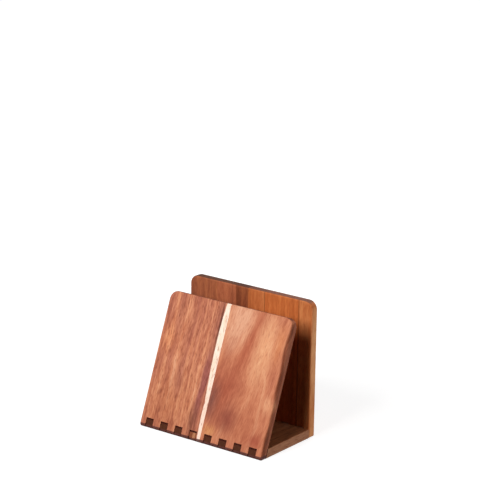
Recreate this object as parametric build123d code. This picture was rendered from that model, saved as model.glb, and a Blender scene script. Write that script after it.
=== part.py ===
"""A napkin holder of solid acacia: an upright back panel, a flat base and a front
panel that leans back over the napkins. Each board is a row of staves glued edge
to edge, and both panels are finger-jointed and glued to the base.

Frame: millimetres, +Z up, X across the width, the front looks along -Y.
The origin is on the ground, under the middle of the whole object.
"""

from build123d import *
import os
from math import cos, radians, sin, tan

# Driving dimensions
WIDTH = 165.0           # across, side to side
DEPTH = 97.0            # from the rounded toe to the back face
BACK_HEIGHT = 153.0     # back panel, from the ground up
FRONT_LENGTH = 153.5    # front panel's outer face, from the unrounded toe up its slope
BOARD = 10.0            # thickness of every board
LEAN = 21.0             # front panel, degrees back from upright
CORNER_RADIUS = 10.0    # top corners of both panels
EDGE_RADIUS = 1.6       # sanded edges of the panels
BASE_EDGE_RADIUS = 1.0  # sanded edges of the base's two ends
TOE_RADIUS = 2.75       # front panel's lower edge

# Finger joints
FINGER = 10.0           # width of a finger, and of the notch that holds it
FINGER_FIT = 0.15       # clearance on each side of a finger
FINGER_HEADROOM = 0.8   # clearance over a finger, in its notch: it shows as a dark line
FINGER_INSET = 0.9      # how far a finger ends below the panel's face
FINGER_TOE_RADIUS = 2.0  # a front finger's lower edge, in line with the panel's toe
FINGER_EDGE_RADIUS = 0.6
NOTCH_EDGE_RADIUS = 0.4

# Joints between a board's staves, as distances from the middle of the width.
# A joint of the base moves to the nearest gap between fingers, to split none
FRONT_JOINTS = [0.5]
BACK_JOINTS = [-45.5, -19.5, -2.5, 19.5, 65.0]
BASE_JOINTS = [-60.0, -20.0, 20.0, 60.0]

# Where the boards lie
lean = radians(LEAN)
toe_set_back = TOE_RADIUS / tan(radians(90 - LEAN) / 2) - TOE_RADIUS
toe_y = -DEPTH / 2 - toe_set_back       # the toe's corner, before it is rounded
back_y = DEPTH / 2
notch_height = BOARD + FINGER_HEADROOM
reach = 4 * (WIDTH + DEPTH)             # larger than the object, for cutting blocks

# Where the base's fingers lie. A panel keeps at least half a finger at each end
finger_count = int(WIDTH // (2 * FINGER))
finger_middles = [(2 * i - finger_count + 1) * FINGER for i in range(finger_count)]
gap_middles = [middle + FINGER for middle in finger_middles[:-1]]
base_joints = [min(gap_middles, key=lambda gap: abs(gap - joint)) for joint in BASE_JOINTS]


def behind_face(distance, height):
    """Y of the plane that lies a distance behind the front panel's outer face."""
    return toe_y + distance / cos(lean) + height * tan(lean)


def prism(points, width):
    """A solid with an outline in Y and Z, centred on X and as wide as given."""
    outline = make_face(Polyline(*points, close=True))
    side = Plane(origin=(-width / 2, 0, 0), x_dir=(0, 1, 0), z_dir=(1, 0, 0))
    return extrude(side * outline, width)


def runs_across(edge):
    """Whether an edge runs straight along X."""
    size = edge.bounding_box().size
    return size.Y < 0.001 and size.Z < 0.001


def rounded_board(face, length, foot):
    """A board behind a face, with round top corners; it reaches a foot below Y = 0."""
    outline = Rectangle(WIDTH, length + foot, align=(Align.CENTER, Align.MIN))
    outline = fillet(outline.vertices().group_by(Axis.Y)[-1], CORNER_RADIUS)
    return extrude(face * Pos(0, -foot, 0) * outline, -BOARD)


def is_notch_rim(edge, face):
    """Whether an edge is where a notch meets the panel's face or its rounded foot."""
    center = edge.center()
    in_notch = any(abs(center.X - middle) < FINGER / 2 + 0.001 for middle in finger_middles)
    behind = abs(face.to_local_coords(center).Z)
    return in_notch and center.Z < notch_height + 0.001 and behind < TOE_RADIUS


def cut_notches(panel, face):
    """Cut a notch for each finger of the base, and sand its rim on the panel's face."""
    block = Box(FINGER, 8 * BOARD, 2 * notch_height)
    for middle in finger_middles:
        panel -= Pos(middle, face.origin.Y, 0) * block
    rims = [edge for edge in panel.edges() if is_notch_rim(edge, face)]
    return fillet(rims, NOTCH_EDGE_RADIUS)


def staves(board, joints, name):
    """Cut a board into staves at its joints, numbered from left to right."""
    lefts = [-reach / 2] + joints
    rights = joints + [reach / 2]
    pieces = {}
    for number, (left, right) in enumerate(zip(lefts, rights), start=1):
        block = Pos((left + right) / 2, 0, 0) * Box(right - left, reach, reach)
        pieces[f"{name}_{number}"] = board & block
    return pieces


def front_panel():
    """The leaning panel, with its rounded toe on the ground."""
    face = Plane(origin=(0, toe_y, 0), x_dir=(1, 0, 0), z_dir=(0, -cos(lean), sin(lean)))
    below_ground = Pos(0, 0, -reach / 2) * Box(reach, reach, reach)
    panel = rounded_board(face, FRONT_LENGTH, 2 * BOARD) - below_ground
    toe = panel.edges().filter_by(Axis.X).group_by(Axis.Z)[0].sort_by(Axis.Y)[0]
    panel = fillet(toe, TOE_RADIUS)
    eased = [edge for edge in panel.edges() if not (runs_across(edge) and
                                                    edge.center().Z < BOARD)]
    panel = fillet(eased, EDGE_RADIUS)
    return cut_notches(panel, face)


def back_panel():
    """The upright panel; its lower inner edge stays sharp, against the base."""
    face = Plane(origin=(0, back_y, 0), x_dir=(-1, 0, 0), z_dir=(0, 1, 0))
    panel = rounded_board(face, BACK_HEIGHT, 0)
    inner_foot = panel.edges().filter_by(Axis.X).group_by(Axis.Z)[0].sort_by(Axis.Y)[0]
    eased = [edge for edge in panel.edges() if edge != inner_foot]
    panel = fillet(eased, EDGE_RADIUS)
    return cut_notches(panel, face)


def finger(root_y, end_low_y, end_high_y, lower_radius):
    """One finger of the base, from inside the board to its sanded end."""
    points = [(root_y, 0), (end_low_y, 0), (end_high_y, BOARD), (root_y, BOARD)]
    solid = prism(points, FINGER - 2 * FINGER_FIT)
    lower = [edge for edge in solid.edges() if runs_across(edge) and
             abs(edge.center().Y - end_low_y) < 0.001]
    solid = fillet(lower, lower_radius)
    eased = [edge for edge in solid.edges() if abs(edge.center().Y - root_y) > 0.001 and
             not (runs_across(edge) and edge.center().Z < BOARD - 0.001)]
    return fillet(eased, FINGER_EDGE_RADIUS)


def base():
    """The flat board between the panels, with its fingers through both of them."""
    front_low = behind_face(BOARD, 0)
    front_high = behind_face(BOARD, BOARD)
    rear = back_y - BOARD
    board = prism([(front_low, 0), (rear, 0), (rear, BOARD), (front_high, BOARD)], WIDTH)
    board = fillet(board.edges().filter_by(Axis.Y), BASE_EDGE_RADIUS)
    root_front = front_high + BOARD
    front = finger(root_front, behind_face(FINGER_INSET, 0),
                   behind_face(FINGER_INSET, BOARD), FINGER_TOE_RADIUS)
    back = finger(rear - BOARD, back_y - FINGER_INSET, back_y - FINGER_INSET, EDGE_RADIUS)
    for middle in finger_middles:
        board += Pos(middle, 0, 0) * front
        board += Pos(middle, 0, 0) * back
    return board


def main():
    os.makedirs("parts", exist_ok=True)
    pieces = {}
    pieces.update(staves(front_panel(), FRONT_JOINTS, "front_stave"))
    pieces.update(staves(base(), base_joints, "base_stave"))
    pieces.update(staves(back_panel(), BACK_JOINTS, "back_stave"))
    for name, piece in pieces.items():
        export_step(piece, f"parts/{name}.step")
        print(name, round(piece.volume), piece.is_valid)


main()
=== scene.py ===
# %% [markdown]
# # A napkin holder of oiled acacia
#
# The real object is three boards: an upright back, a flat base and a front that
# leans back over the napkins. Each board is glued up from narrow staves, and the
# base's fingers come out through the lower edge of the front as dark end grain.
#
# The boards' shape is already made, to size, in the frame that this script loads.
# So this lesson is about wood: how one material builder, set differently for each
# stave, gives thirteen pieces of timber that belong together and yet all differ.

# %% Load the frame
from collections import namedtuple
from math import cos, pi, radians, sin

import bmesh
import bpy
from mathutils import Matrix, Vector


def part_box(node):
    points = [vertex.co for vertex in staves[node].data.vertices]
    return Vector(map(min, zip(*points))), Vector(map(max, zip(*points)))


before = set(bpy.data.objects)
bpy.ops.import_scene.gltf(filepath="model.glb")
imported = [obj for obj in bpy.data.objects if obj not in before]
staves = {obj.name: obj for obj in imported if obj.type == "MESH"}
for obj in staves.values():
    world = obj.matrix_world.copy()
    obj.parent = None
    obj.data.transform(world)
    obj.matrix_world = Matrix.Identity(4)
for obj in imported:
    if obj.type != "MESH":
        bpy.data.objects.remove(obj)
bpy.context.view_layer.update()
print("staves:", sorted(staves))

# %% [markdown]
# ## Two small helpers
#
# Colours are chosen as sRGB hex values, as a paint chart gives them, and Blender
# wants them linear. And a node tree reads better when one call adds a node, sets
# it and links it.

# %% Colour and node helpers
def linear(hex_colour):
    """An sRGB hex colour as the four linear values that a shader wants."""
    channels = [int(hex_colour[i:i + 2], 16) / 255 for i in (1, 3, 5)]
    curve = [c / 12.92 if c <= 0.04045 else ((c + 0.055) / 1.055) ** 2.4 for c in channels]
    return (*curve, 1.0)


def add(tree, kind, inputs=None, **settings):
    """Add a node; an input is a number, a colour or another node's socket."""
    node = tree.nodes.new(kind)
    for name, value in settings.items():
        setattr(node, name, value)
    for key, value in (inputs or {}).items():
        if isinstance(value, bpy.types.NodeSocket):
            tree.links.new(value, node.inputs[key])
        else:
            node.inputs[key].default_value = value
    return node


print("mid brown, #96643c, is", [round(c, 3) for c in linear("#96643c")], "in linear light")

# %% [markdown]
# ## Where the grain runs
#
# Wood is a solid pattern: streaks on a face, and dots on a cut end, come from the
# same fibres. So every texture here is three-dimensional, and it is laid out in a
# board's own grain space: millimetres, x across the staves, z along the fibres.
# The front panel's grain space leans with the panel, and the base's lies flat.
#
# A Mapping node of the texture kind does it in one step, because it takes a board
# that was moved, turned and scaled back to where it grew.

# %% Grain space
MM = 0.001
LEAN = radians(21.0)            # the front panel, back from upright

GRAIN_TURN = {"front": (-LEAN, 0, 0), "back": (0, 0, 0), "base": (-pi / 2, 0, 0)}
GRAIN_WAY = {"front": (0, sin(LEAN), cos(LEAN)), "back": (0, 0, 1), "base": (0, 1, 0)}
BOARD_FOOT = {
    "front": (0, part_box("front_stave_1")[0].y, 0),
    "back": (0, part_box("back_stave_1")[1].y, 0),
    "base": (0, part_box("base_stave_1")[0].y, 0),
}


def grain_space(tree, board):
    """A point of a board in millimetres, with z along the fibres from its foot."""
    place = add(tree, "ShaderNodeTexCoord")
    return add(tree, "ShaderNodeMapping", {
        "Vector": place.outputs["Object"], "Location": BOARD_FOOT[board],
        "Rotation": GRAIN_TURN[board], "Scale": (MM, MM, MM)},
        vector_type="TEXTURE").outputs[0]


for board, foot in BOARD_FOOT.items():
    print(board, "board: z = 0 of its grain is at y =", round(foot[1] / MM, 1), "mm")

# %% [markdown]
# ## Streaks
#
# Fibres, pores and the slow drifts of colour in a board differ only in size. Each
# is one noise that is drawn out along the grain, so one function makes them all
# from a real width and length in millimetres.

# %% Streaks
BREAK_UP = 0.6                  # how strongly the finer detail breaks up a streak


def streaks(tree, point, width, length, detail=3.0):
    """Noise drawn out along the grain, by the width and length of one streak in mm."""
    drawn = add(tree, "ShaderNodeMapping", {
        "Vector": point, "Scale": (1 / width, 1 / width, 1 / length)})
    return add(tree, "ShaderNodeTexNoise", {
        "Vector": drawn.outputs[0], "Scale": 1.0, "Detail": detail,
        "Roughness": BREAK_UP})


# %% [markdown]
# ## Fibres that wander
#
# A tree doesn't grow straight, and acacia grows less straight than most. Here the
# point itself is pushed sideways by a slow noise before any pattern is looked up,
# so that rings, fibres and pores all bend together, as they do in the plank.
#
# The colour output of a noise holds three noises at once, each from 0 to 1. With a
# half taken off, they are a push to both sides alike.

# %% Wander
BEND_WIDTH = 40.0               # mm over which a bend changes, across the fibres
BEND_LENGTH = 80.0              # and along them


def push(tree, point, width, length, detail=3.0):
    """A push that changes from streak to streak, each way from -0.5 to 0.5."""
    noise = streaks(tree, point, width, length, detail)
    return add(tree, "ShaderNodeVectorMath", {
        0: noise.outputs["Color"], 1: (0.5, 0.5, 0.5)}, operation="SUBTRACT").outputs[0]


def wander(tree, point, reach):
    """How far the fibres at a point lie from a straight line, in mm."""
    return add(tree, "ShaderNodeVectorMath", {
        0: push(tree, point, BEND_WIDTH, BEND_LENGTH, detail=2.0),
        1: (2 * reach, 2 * reach, 0)}, operation="MULTIPLY").outputs[0]


# %% [markdown]
# ## Growth rings
#
# A ring is all the wood at one distance from the tree's middle, so the distance
# alone picks the tone, through a one-dimensional noise. Where the middle of the
# tree lay beside the stave, the rings cut its face as narrow upright bands. Where
# it lay behind, they cut it at a low angle as broad soft ones.

# %% Growth rings
TAPER = 0.02                    # a trunk narrows, and rings close, along the grain
RING_DETAIL = 4.0
RING_BREAK_UP = 0.62


def growth_rings(tree, point, pith, width):
    """Bands of a given width in mm round the pith, which is an x and y in mm."""
    tapered = add(tree, "ShaderNodeVectorMath", {0: point, 1: (1, 1, TAPER)},
                  operation="MULTIPLY")
    distance = add(tree, "ShaderNodeVectorMath", {0: tapered.outputs[0], 1: (*pith, 0)},
                   operation="DISTANCE")
    return add(tree, "ShaderNodeTexNoise", {
        "W": distance.outputs["Value"], "Scale": 1 / width, "Detail": RING_DETAIL,
        "Roughness": RING_BREAK_UP}, noise_dimensions="1D")


# %% [markdown]
# ## Stains
#
# Some marks belong to one stave only: the cream sapwood at the joint of the front
# panel, the purple heart beside it, a red band that drifts across the figure. A
# stain is a soft-edged ellipse in grain space, and a very long one is a stripe.
# It goes right through the board, so it comes out on the back and the edges too, unless it
# is given a level and a thickness of its own, as the painted shade over a finger is.
# Its edge is ragged, because colour creeps further along one fibre than the next.
#
# Places and sizes are in mm, as is ragged, the width over which the edge strays. The
# lean is in degrees, the share is how much of the colour shows, and soft is the
# part of the reach over which it fades out.

# %% Stains
THROUGH = 1e5                   # mm: far deeper than any board
ALL_ALONG = 900                 # mm: longer than any board, for a stripe end to end
Stain = namedtuple("Stain", "colour share middle reach lean soft ragged level thick",
                   defaults=(0.0, 1.0, 6.0, 0.0, THROUGH))


def stained(tree, point, creep, colour, stain):
    """A colour with one stain mixed in. Its middle and reach are an x and a z."""
    aside = add(tree, "ShaderNodeVectorMath", {0: creep, "Scale": stain.ragged},
                operation="SCALE")
    ragged = add(tree, "ShaderNodeVectorMath", {0: point, 1: aside.outputs[0]},
                 operation="ADD")
    local = add(tree, "ShaderNodeMapping", {
        "Vector": ragged.outputs[0],
        "Location": (stain.middle[0], stain.level, stain.middle[1]),
        "Rotation": (0, radians(stain.lean), 0),
        "Scale": (stain.reach[0], stain.thick, stain.reach[1])}, vector_type="TEXTURE")
    out = add(tree, "ShaderNodeVectorMath", {0: local.outputs[0]}, operation="LENGTH")
    mask = add(tree, "ShaderNodeMapRange", {
        "Value": out.outputs["Value"], "From Min": 1.0, "From Max": 1 - stain.soft,
        "To Min": 0.0, "To Max": stain.share}, interpolation_type="SMOOTHSTEP")
    return add(tree, "ShaderNodeMix", {
        0: mask.outputs[0], 6: colour, 7: linear(stain.colour)},
        data_type="RGBA").outputs[2]


# %% [markdown]
# ## End grain
#
# A cut end is a bundle of open tubes. It drinks the oil and goes nearly black
# brown, which is what makes the fingers stand out. Whether a surface is a cut end
# follows from its normal: it points along the fibres.

# %% End grain
END_FACING = (0.7, 0.93)        # where the dark starts and is full, as a cosine


def end_grain(tree, board, share):
    """How much of the dark end tone a surface gets, from the way that it faces."""
    place = add(tree, "ShaderNodeTexCoord")
    facing = add(tree, "ShaderNodeVectorMath", {
        0: place.outputs["Normal"], 1: GRAIN_WAY[board]}, operation="DOT_PRODUCT")
    either_end = add(tree, "ShaderNodeMath", {0: facing.outputs["Value"]},
                     operation="ABSOLUTE")
    return add(tree, "ShaderNodeMapRange", {
        "Value": either_end.outputs[0], "From Min": END_FACING[0],
        "From Max": END_FACING[1], "To Min": 0.0, "To Max": share},
        interpolation_type="SMOOTHSTEP").outputs[0]


# %% [markdown]
# ## Painted shade on the foot, and glue
#
# The front panel stands on its cut end. Its rounded toe is painted dark to a height of 4 mm,
# all round the curve: painted shade, where the curve turns down to face the ground. Only the
# height above the ground matters here, so this mask reads it straight from the object.
#
# A glue line is a hair of dark glue between two staves. It is drawn about 1 mm
# wide, several times as wide as a real one, because a thinner line doesn't show.

# %% Painted shade on the foot
# painted shade: the lower curve of the toe, which faces the ground
PAINTED_FOOT_SHADE = "#56302b"
FOOT_HEIGHT = (4.8 * MM, 4.0 * MM)      # where it starts, and where it is full


def painted_foot_shade(tree, share):
    """How much painted shade a point gets, from its height above the ground."""
    place = add(tree, "ShaderNodeTexCoord")
    height = add(tree, "ShaderNodeVectorMath", {
        0: place.outputs["Object"], 1: (0, 0, 1)}, operation="DOT_PRODUCT")
    return add(tree, "ShaderNodeMapRange", {
        "Value": height.outputs["Value"], "From Min": FOOT_HEIGHT[0],
        "From Max": FOOT_HEIGHT[1], "To Min": 0.0, "To Max": share},
        interpolation_type="SMOOTHSTEP").outputs[0]


# %% Glue lines
GLUE = "#3a1a0c"
GLUE_CORE = 0.25                # mm each side of the joint that is fully dark
GLUE_EDGE = 0.9                 # mm each side where the line has faded out


def glue_line(tree, point, joint, share):
    """How dark the glue of a joint at one x makes a point near it."""
    across = add(tree, "ShaderNodeVectorMath", {0: point, 1: (1, 0, 0)},
                 operation="DOT_PRODUCT")
    away = add(tree, "ShaderNodeMath", {0: across.outputs["Value"], 1: joint},
               operation="SUBTRACT")
    either_side = add(tree, "ShaderNodeMath", {0: away.outputs[0]}, operation="ABSOLUTE")
    return add(tree, "ShaderNodeMapRange", {
        "Value": either_side.outputs[0], "From Min": GLUE_EDGE, "From Max": GLUE_CORE,
        "To Min": 0.0, "To Max": share}).outputs[0]


# %% [markdown]
# ## A stave's own tones
#
# A stave's colour is built in the order in which the eye sorts it. First come the
# rings and, much larger, slow clouds. The two are added up to one number, and a
# ramp of the stave's own tones turns that into a colour, so that a stave never
# leaves its own range, however its neighbours look.

# %% Rings and clouds
CLOUD = (26.0, 90.0)            # mm: width and length


def ring_tone(tree, rings, clouds, tones, ring_share, cloud_share):
    """The tone that rings and clouds pick, from a stave's darkest to its lightest."""
    layers = ((rings, ring_share), (clouds, cloud_share))
    tone = 0.5 - sum(share for layer, share in layers)
    for layer, share in layers:
        tone = add(tree, "ShaderNodeMath", {0: layer.outputs[0], 1: 2 * share, 2: tone},
                   operation="MULTIPLY_ADD").outputs[0]
    ramp = add(tree, "ShaderNodeValToRGB", {"Fac": tone})
    stops = ramp.color_ramp.elements
    for i in range(1, len(tones) - 1):
        stops.new(i / (len(tones) - 1))
    for stop, colour in zip(stops, tones):
        stop.color = linear(colour)
    return ramp.outputs["Color"]


# %% [markdown]
# ## An oiled surface
#
# Planed, sanded and oiled wood is satin, neither matt nor glossy. The oil fills the
# face, but pores and cut ends stay open, a little lower and rougher than the rest.
# So the roughness follows the grain: one value for all would look like printed foil.

# %% Oiled surface
SATIN = 0.55                    # roughness of the oiled face
OPEN_GRAIN = 0.85               # and of pores and cut ends
OIL_IOR = 1.5
SHEEN = 0.12                    # an oiled face reflects less than a varnished one, 0.5
GRAIN_RELIEF = 0.00006          # metres: what is left after fine sanding


def oiled(tree, colour, open_grain, height):
    """Wood with a satin surface that is rough where its grain is open."""
    gloss = add(tree, "ShaderNodeMapRange", {
        "Value": open_grain, "To Min": SATIN, "To Max": OPEN_GRAIN})
    relief = add(tree, "ShaderNodeBump", {
        "Height": height, "Distance": GRAIN_RELIEF, "Strength": 1.0})
    return add(tree, "ShaderNodeBsdfPrincipled", {
        "Base Color": colour, "Roughness": gloss.outputs[0], "IOR": OIL_IOR,
        "Specular IOR Level": SHEEN, "Normal": relief.outputs[0]}).outputs[0]


# %% [markdown]
# ## Oiled acacia
#
# Now the parts come together. Stains, glue, end grain and the painted shade on the toe are
# mixed over a stave's tone, each by its share. Fibres and pores come last, as light and dark
# on whatever is below them, so that they run through every stain.

# %% The acacia material
STAVE_STEP = (0, 310.0, 170.0)  # mm between staves, as if from far-apart wood
CREEP = (3.0, 50.0)             # mm: width and length, as are the next three
MOTTLE = (3.5, 12.0)            # short broken lights, where fibres weave in and out
FIBRE = (1.8, 32.0)
PORE = (1.1, 6.5)               # real pores are 0.3 mm wide, too fine to show
OPEN_PORE = (0.42, 0.3)         # the noise at which a pore starts, and is fully open


def acacia(name, board, tones, seed, pith=(-150.0, 40.0), ring=5.0, bend=4.0, slant=0.0,
           ring_share=0.5, cloud_share=0.4, mottle_share=0.3, fibre_share=0.5,
           pore_share=0.4, stains=(), joints=(), joint_share=0.5, end_tone="#3c2018",
           end_share=0.92, foot_shade_share=0.0, marks=()):
    """Sanded, oiled acacia for one stave. Its tones run from dark to light.

    Stains lie in the wood and bend with it; marks lie on top, even on end grain.
    """
    material = bpy.data.materials.new(name)
    material.use_nodes = True
    tree = material.node_tree
    tree.nodes.clear()
    point = grain_space(tree, board)
    own = add(tree, "ShaderNodeMapping", {
        "Vector": point, "Location": [seed * step for step in STAVE_STEP],
        "Rotation": (0, radians(-slant), 0)}).outputs[0]
    aside = wander(tree, own, bend)
    wood = add(tree, "ShaderNodeVectorMath", {0: own, 1: aside}, operation="ADD").outputs[0]
    bent = add(tree, "ShaderNodeVectorMath", {0: point, 1: aside},
               operation="ADD").outputs[0]
    creep = push(tree, wood, *CREEP)

    rings = growth_rings(tree, bent, pith, ring)
    clouds = streaks(tree, wood, *CLOUD, detail=2.0)
    colour = ring_tone(tree, rings, clouds, tones, ring_share, cloud_share)
    for stain in stains:
        colour = stained(tree, bent, creep, colour, stain)
    cut_end = end_grain(tree, board, end_share)
    covers = [(glue_line(tree, point, joint, joint_share), GLUE) for joint in joints]
    covers += [(cut_end, end_tone), (painted_foot_shade(tree, foot_shade_share), PAINTED_FOOT_SHADE)]
    for share, tone in covers:
        colour = add(tree, "ShaderNodeMix", {0: share, 6: colour, 7: linear(tone)},
                     data_type="RGBA").outputs[2]
    for mark in marks:
        colour = stained(tree, point, creep, colour, mark)

    mottle = streaks(tree, wood, *MOTTLE)
    fibres = streaks(tree, wood, *FIBRE)
    pores = streaks(tree, wood, *PORE, detail=1.0)
    for layer, share in ((mottle, mottle_share), (fibres, fibre_share), (pores, pore_share)):
        colour = add(tree, "ShaderNodeMix", {0: share, 6: colour, 7: layer.outputs[0]},
                     data_type="RGBA", blend_type="SOFT_LIGHT").outputs[2]
    open_pores = add(tree, "ShaderNodeMapRange", {
        "Value": pores.outputs[0], "From Min": OPEN_PORE[0], "From Max": OPEN_PORE[1],
        "To Min": 0.0, "To Max": pore_share}).outputs[0]
    colour = add(tree, "ShaderNodeMix", {0: open_pores, 6: colour, 7: linear(tones[0])},
                 data_type="RGBA").outputs[2]

    open_grain = add(tree, "ShaderNodeMath", {0: open_pores, 1: cut_end},
                     operation="MAXIMUM").outputs[0]
    height = add(tree, "ShaderNodeMath", {0: pores.outputs[0], 1: fibres.outputs[0]},
                 operation="ADD").outputs[0]
    add(tree, "ShaderNodeOutputMaterial", {
        "Surface": oiled(tree, colour, open_grain, height)})
    return material


# %% Covering a stave
def cover(node, material):
    """Give a CAD node its material."""
    slots = staves[node].data.materials
    slots.clear()
    slots.append(material)
    print(node, "gets", material.name)


# %% [markdown]
# ## The front panel
#
# Two staves, and they make the object's face. The left one is heartwood with fine
# upright streaks. It ends at the joint in a stripe of cream sapwood, with a purple
# band beside it, where heartwood meets sapwood. The stripe is its last two stains:
# ellipses so large that only their steep left sides lie on the stave.
#
# The right one is a paler salmon. Its fibres lean and its figure is broad and soft.
# Noise alone never puts a light or dark part where this panel has it, so the stains lay the
# large ones out, and the noise breaks them up.
#
# The right stave's outer edge is darker than its face: its side is darker wood, and the
# shade on the rounded edge is painted in over it. A lighter band runs along the inside of
# that side, and a dark line of painted shade lies at the foot, where it meets the base.

# %% Left front stave
# end grain, painted lighter than the fingers' end grain as a highlight along the panel's top
# edge
FRONT_END = "#7a4634"           # the panel's cut top end, lighter than the fingers

cover("front_stave_1", acacia(
    "acacia_heart_with_sapwood", "front",
    ["#7c4434", "#a45d47", "#bb7355", "#d08762", "#e8ad8a"],
    seed=1, pith=(-170.0, 40.0), ring=8.0, bend=3.0, ring_share=0.52, cloud_share=0.5,
    mottle_share=0.8, fibre_share=0.6, pore_share=0.5, end_tone=FRONT_END,
    foot_shade_share=0.95, stains=[
        Stain("#e09060", 0.45, middle=(-70, 102), reach=(15, 24)),
        Stain("#d08a64", 0.3, middle=(-56, 128), reach=(24, 30)),
        Stain("#ac6340", 0.5, middle=(-50, 35), reach=(50, 60)),
        Stain("#96584a", 0.5, middle=(-44, 62), reach=(9, 34)),
        Stain("#844244", 0.75, middle=(-11, 62), reach=(9, 60), soft=0.8, ragged=12),
        Stain("#8a4a3e", 0.6, middle=(-12, 132), reach=(8, 50), ragged=12),
        Stain("#70402f", 0.6, middle=(-14, 22), reach=(10, 30), ragged=10),
        Stain("#4e261e", 0.9, middle=(-8.6, 128), reach=(2.8, 46), ragged=4),
        Stain("#fbe0ca", 1.0, middle=(40, 108), reach=(48.2, 150), soft=0.02,
              ragged=1.5),
        Stain("#fbdcc8", 1.0, middle=(40, 40), reach=(43.6, 200), soft=0.02,
              ragged=1.5),
    ]))

# %% Right front stave
cover("front_stave_2", acacia(
    "acacia_wavy_salmon", "front", ["#9c5640", "#b56a4c", "#c87d5a", "#e2a47c"],
    seed=2, pith=(30.0, 60.0), ring=9.0, bend=6.0, slant=9.0, ring_share=0.6,
    cloud_share=0.4, mottle_share=0.5, fibre_share=0.5, pore_share=0.3,
    end_tone=FRONT_END, foot_shade_share=0.95, stains=[
        Stain("#dfa584", 0.9, middle=(16, 138), reach=(28, 50), lean=8),
        Stain("#ac5a3e", 0.9, middle=(34, 112), reach=(12, 68), lean=14),
        Stain("#e2a278", 0.95, middle=(56, 114), reach=(19, 62), lean=5),
        Stain("#a2523a", 0.9, middle=(18, 62), reach=(31, 52), lean=12),
        Stain("#b6694a", 0.7, middle=(52, 34), reach=(34, 34)),
        Stain("#7c483c", 0.9, middle=(5, 48), reach=(13, 34), lean=3),
        Stain("#8a4232", 0.9, middle=(28, 32), reach=(24, 28)),
        Stain("#de9c74", 0.9, middle=(75, 58), reach=(10, 15)),
        Stain("#a04c36", 0.85, middle=(68, 18), reach=(18, 14)),
        Stain("#cc8858", 0.9, middle=(9, 16), reach=(13, 10)),
        Stain("#d88c5e", 0.75, middle=(74, 122), reach=(10, 34), lean=4),
        Stain("#b0664c", 0.6, middle=(44, 4), reach=(46, 12), ragged=8),
        # the outer edge: darker wood on the side, with painted shade on the rounded edge
        Stain("#6a3016", 0.95, middle=(83, 75), reach=(3.0, ALL_ALONG), ragged=2),
        Stain("#98583e", 0.9, middle=(83, 75), reach=(3.0, ALL_ALONG), soft=0.4, ragged=1,
              level=7.2, thick=3.4),
        # painted shade at the foot, where the panel meets the base
        Stain("#34140a", 0.85, middle=(83, 4), reach=(3.0, 11), soft=0.5, ragged=1,
              level=9.4, thick=2.0),
    ]))

# %% [markdown]
# ## The back panel
#
# Six staves of random width. They were picked without regard to colour, from dark brown to a
# clear orange, and two of their joints show as a dark line. The last one ends in a strip of
# pale wood at the right edge, painted paler still as a highlight where that edge catches the
# light. The panel stands in the shade, where figure hardly shows, so one loop makes all six
# from a table of tones.

# %% Back panel
# pale wood along the right edge, painted paler still as a highlight
PALE_WOOD_AND_HIGHLIGHT = [
    Stain("#e8a872", 0.8, middle=(84, 100), reach=(3.0, ALL_ALONG), ragged=1),
    Stain("#ffc28c", 0.85, middle=(84, 92), reach=(3.0, 60), ragged=1),
]
BACK_JOINTS = (-45.5, -19.5, -2.5, 19.5, 65.0)      # mm
DARK_JOINTS = (19.5, 65.0)
BACK_TONES = (
    ["#6c3624", "#985436", "#b0683e"],
    ["#783c26", "#a65c3c", "#bc7048"],
    ["#4c2012", "#844428", "#a05a34"],
    ["#904c26", "#b46234", "#cc7c48"],
    ["#984e22", "#be6634", "#d47e42"],
    ["#904a24", "#bc6a3a", "#d48a54"],
)
BACK_END_TONES = ("#5c3c2e", "#5c3c2e", "#503228", "#744c40", "#84584a", "#84584a")
for i, tones in enumerate(BACK_TONES):
    near = [x for x in BACK_JOINTS[max(i - 1, 0):i + 1] if x in DARK_JOINTS]
    cover(f"back_stave_{i + 1}", acacia(
        f"acacia_back_{i + 1}", "back", tones, seed=3 + i, ring=6.0, bend=3.0,
        ring_share=0.4, cloud_share=0.8, fibre_share=0.35, pore_share=0.25, joints=near,
        end_tone=BACK_END_TONES[i], stains=PALE_WOOD_AND_HIGHLIGHT if i == len(BACK_JOINTS) else ()))

# %% [markdown]
# ## The base
#
# Its grain runs from front to back, so that the fingers are strong and show their cut ends.
# Shade is painted where a finger meets its notch: in the gap over its top, which is the
# base's top surface, and at its right edge. A finger's foot gets the same painted shade as
# the toe that it lies in. Only the fourth finger is light, as a vein of sapwood runs through
# it. The painted shade lies on top of a cut end, and the vein has to show on it, so all of
# these are marks. Each stave takes only the ones that touch it.

# %% Marks on the fingers
FINGER_MIDDLES = range(-70, 71, 20)     # mm, as are the next three
FINGER_HALF = 5.0
FINGER_LENGTH = 11.0
BASE_TOP = -10.0                # in the base's grain space, y points down
# painted shade in the gap round each finger
PAINTED_GAP_SHADE = "#380c04"

finger_shade = [
    # over each finger's top: painted shade in the gap under its notch
    Stain(PAINTED_GAP_SHADE, 1.0, middle=(0, 0), reach=(THROUGH, FINGER_LENGTH), soft=0.4,
          ragged=0.3, level=BASE_TOP, thick=1.4),
    # the finger's foot: the same painted shade as the toe
    Stain(PAINTED_FOOT_SHADE, 0.9, middle=(0, 0), reach=(THROUGH, FINGER_LENGTH), soft=0.25,
          ragged=0.2, thick=4.0),
]
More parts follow.
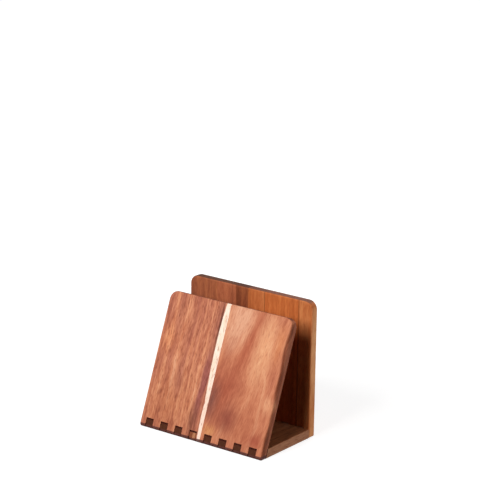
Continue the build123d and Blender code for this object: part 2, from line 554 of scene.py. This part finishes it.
# painted shade down the right edge of each finger
for x in FINGER_MIDDLES:
    finger_shade.append(Stain(PAINTED_GAP_SHADE, 0.7, middle=(x + FINGER_HALF, 0),
                      reach=(1.6, FINGER_LENGTH), soft=0.5, ragged=0.5))
veins = [
    Stain("#8a4c30", 0.85, middle=(-10, 0), reach=(6, 30), soft=0.3, ragged=1),
    Stain("#cc9068", 0.7, middle=(-8.5, 0), reach=(3, 20), ragged=2),
    # and the pale strip along the base's right edge
    Stain("#b88466", 0.85, middle=(84, 40), reach=(3, ALL_ALONG), ragged=1),
]
print(len(finger_shade) + len(veins), "marks on the base")

# %% Base
BASE_STAVES = 5
BASE_SEED = 9                   # the other boards have used the seeds up to 8
EDGE_ROOM = 2.0                 # mm: how far right of a stave a mark's middle may lie

for i in range(BASE_STAVES):
    low, high = (corner.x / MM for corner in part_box(f"base_stave_{i + 1}"))
    own_marks = [mark for mark in veins + finger_shade
                 if mark.reach[0] == THROUGH or low < mark.middle[0] < high + EDGE_ROOM]
    cover(f"base_stave_{i + 1}", acacia(
        f"acacia_base_{i + 1}", "base", ["#643420", "#88502f", "#a06a48"],
        seed=BASE_SEED + i, end_tone="#432012", marks=own_marks))

# %% [markdown]
# ## Camera
#
# The camera was fitted to the photo's straight edges. A long lens from above and
# to the right keeps the uprights nearly parallel. It is set as a frame of three
# axes, because a roll of under a degree is easier to write that way than as turns.

# %% Camera
FOCAL_PIXELS = 2123.0
IMAGE_PIXELS = 480
SENSOR = 36.0                   # mm
AZIMUTH = radians(37.1)         # to the right of straight ahead
ELEVATION = radians(15.79)
ROLL = radians(0.9)
DISTANCE = 2.2183               # metres, as is the next one
LOOK_AT = Vector((0.02684, -0.01675, 0.22404))

towards = Vector((sin(AZIMUTH) * cos(ELEVATION), -cos(AZIMUTH) * cos(ELEVATION),
                  sin(ELEVATION)))
level = Vector((0, 0, 1)).cross(towards).normalized()
upright = towards.cross(level)
right = cos(ROLL) * level + sin(ROLL) * upright
up = cos(ROLL) * upright - sin(ROLL) * level
camera_data = bpy.data.cameras.new("camera")
camera_data.sensor_width = SENSOR
camera_data.lens = FOCAL_PIXELS / IMAGE_PIXELS * SENSOR
camera = bpy.data.objects.new("camera", camera_data)
bpy.context.scene.collection.objects.link(camera)
turn = Matrix((right, up, towards)).transposed().to_4x4()
camera.matrix_world = Matrix.Translation(LOOK_AT + towards * DISTANCE) @ turn
bpy.context.scene.camera = camera
print("lens:", round(camera_data.lens, 1), "mm")

# %% [markdown]
# ## Light
#
# One large softbox in front and above, a little to the left, lights the face. Its
# height shows in the photo: its light reaches some 35 mm down the inside of the
# back panel, and the rest of the napkin space is dark. A weaker one stands low on
# the right, a little behind the object, and lights the edges. A third stands
# behind on the left, where it touches nothing that the camera sees, and keeps the
# back from going black when the object is seen from there.

# %% Softboxes
AIM = Vector((0, 0, 0.07))      # metres: about halfway up the object


def softbox(name, azimuth, elevation, distance, size, watts):
    """A square area lamp. Azimuth 0 is straight ahead of the object, 90 its right."""
    data = bpy.data.lights.new(name, "AREA")
    data.energy = watts
    data.size = size
    lamp = bpy.data.objects.new(name, data)
    bpy.context.scene.collection.objects.link(lamp)
    side, lift = radians(azimuth), radians(elevation)
    way = Vector((sin(side) * cos(lift), -cos(side) * cos(lift), sin(lift)))
    lamp.matrix_world = (Matrix.Translation(AIM + way * distance)
                         @ way.to_track_quat("Z", "Y").to_matrix().to_4x4())
    print(name, "stands at", [round(v, 2) for v in lamp.matrix_world.translation])


softbox("key_softbox", azimuth=-9, elevation=36, distance=1.3, size=0.8, watts=20.5)
softbox("edge_softbox", azimuth=97, elevation=9, distance=1.3, size=0.3, watts=7.7)
softbox("rear_softbox", azimuth=-170, elevation=12, distance=1.4, size=0.7, watts=12.0)

# %% [markdown]
# ## World and floor
#
# The photo's ground is plain white. The world is white only to the camera and to
# reflections, and dim as a light, or it would fill the dark napkin space. The
# floor does the same. To the camera it is a sheet of matt white paper, with no
# gloss, that keeps the object's shadow. Light that bounces off it finds it dark
# grey, so it comes back weak.

# %% World
DIM = 0.04                      # how much of the white world lights the object


def seen_directly(tree):
    """1 where a ray comes from the camera, a reflection or a clear body, else 0."""
    path = add(tree, "ShaderNodeLightPath")
    seen = path.outputs["Is Camera Ray"]
    for kind in ("Is Glossy Ray", "Is Transmission Ray"):
        seen = add(tree, "ShaderNodeMath", {0: seen, 1: path.outputs[kind]},
                   operation="MAXIMUM").outputs[0]
    return seen


world = bpy.data.worlds.new("studio")
bpy.context.scene.world = world
world.use_nodes = True
tree = world.node_tree
tree.nodes.clear()
strength = add(tree, "ShaderNodeMapRange", {
    "Value": seen_directly(tree), "To Min": DIM, "To Max": 1.0})
sky = add(tree, "ShaderNodeBackground", {
    "Color": (1, 1, 1, 1), "Strength": strength.outputs[0]})
add(tree, "ShaderNodeOutputWorld", {"Surface": sky.outputs[0]})

# %% Floor
FLOOR_RADIUS = 8.0              # metres, as are the next two
NEAR, FAR = 0.25, 0.9           # up to where a shadow shows, and where all is white
GLOW_NEAR, GLOW_FAR = 0.8, 1.0  # 1 is white
PAPER = "#a8a8a8"               # as the lamps light it, on top of the glow
BOUNCE = "#404040"              # as it gives light back to the object

shape = bmesh.new()
bmesh.ops.create_circle(shape, cap_ends=True, segments=96, radius=FLOOR_RADIUS)
mesh = bpy.data.meshes.new("floor")
shape.to_mesh(mesh)
shape.free()
floor = bpy.data.objects.new("floor", mesh)
bpy.context.scene.collection.objects.link(floor)

paper = bpy.data.materials.new("matt_white_paper")
paper.use_nodes = True
tree = paper.node_tree
tree.nodes.clear()
place = add(tree, "ShaderNodeTexCoord")
out = add(tree, "ShaderNodeVectorMath", {0: place.outputs["Object"]}, operation="LENGTH")
glow = add(tree, "ShaderNodeMapRange", {
    "Value": out.outputs["Value"], "From Min": NEAR, "From Max": FAR,
    "To Min": GLOW_NEAR, "To Max": GLOW_FAR})
lit = add(tree, "ShaderNodeBsdfDiffuse", {"Color": linear(PAPER)})
white = add(tree, "ShaderNodeEmission", {"Strength": glow.outputs[0]})
both = add(tree, "ShaderNodeAddShader", {0: lit.outputs[0], 1: white.outputs[0]})
dull = add(tree, "ShaderNodeBsdfDiffuse", {"Color": linear(BOUNCE)})
surface = add(tree, "ShaderNodeMixShader", {
    0: seen_directly(tree), 1: dull.outputs[0], 2: both.outputs[0]})
add(tree, "ShaderNodeOutputMaterial", {"Surface": surface.outputs[0]})
mesh.materials.append(paper)
print("floor:", 2 * FLOOR_RADIUS, "m across")

# %% [markdown]
# ## Finish
#
# The Standard view shows each colour about as it was written.

# %% Finish
scene = bpy.context.scene
scene.view_settings.view_transform = "Standard"
